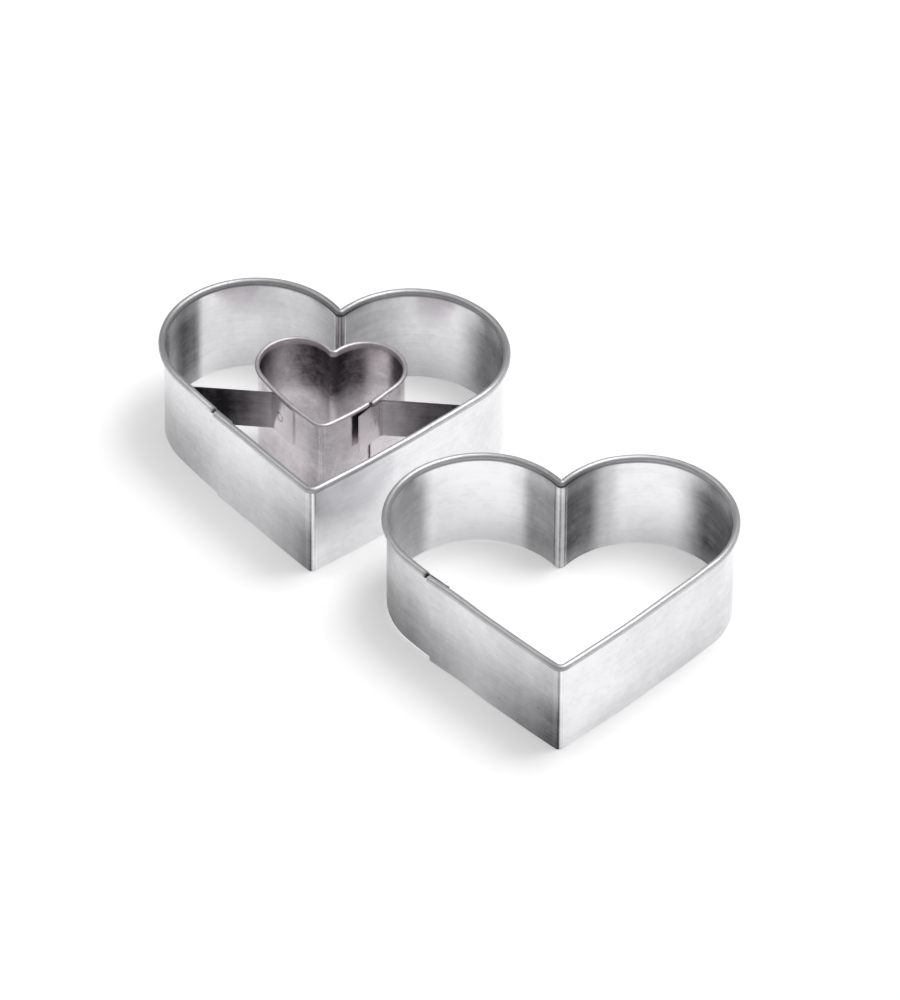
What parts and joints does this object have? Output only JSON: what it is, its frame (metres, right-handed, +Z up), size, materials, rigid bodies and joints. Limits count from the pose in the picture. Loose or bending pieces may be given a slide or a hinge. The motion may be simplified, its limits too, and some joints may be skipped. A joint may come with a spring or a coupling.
{
  "type": "cookie cutter",
  "caption": "Heart cookie cutter set of bent tinplate with rolled rims: a plain heart, and a heart that holds a small heart on straps to cut a window.",
  "frame": {"origin": "bottom centre of the pair's box, on the plane that the cutting edges stand on", "axes": "+Z up, from the cutting edges to the rolled rims; -Y towards the plain cutter's tip; +X from the window cutter's side to the plain cutter's side"},
  "size_m": [0.1016, 0.102, 0.0197],
  "materials": {
    "band_tinplate": "bright tinplate, with faint lengthwise rolling lines",
    "small_heart_tinplate": "tinplate, a little duller and stained",
    "strap_tinplate": "bright tinplate strip",
    "weld_steel": "fused steel"
  },
  "bodies": {
    "window_cutter": {"window_cutter_band": "band_tinplate", "small_heart_band": "small_heart_tinplate", "left_bridge_strap": "strap_tinplate", "right_bridge_strap": "strap_tinplate", "strap_weld_nuggets": "weld_steel", "window_band_weld_nuggets": "weld_steel", "small_heart_weld_nuggets": "weld_steel"},
    "plain_cutter": {"plain_cutter_band": "band_tinplate", "plain_band_weld_nuggets": "weld_steel"}
  },
  "joints": [
    {"name": "plain_cutter_lift", "type": "slide", "parent": "window_cutter", "child": "plain_cutter", "axis": [0, 0, 1], "range_m": [0, 0.03]}
  ]
}
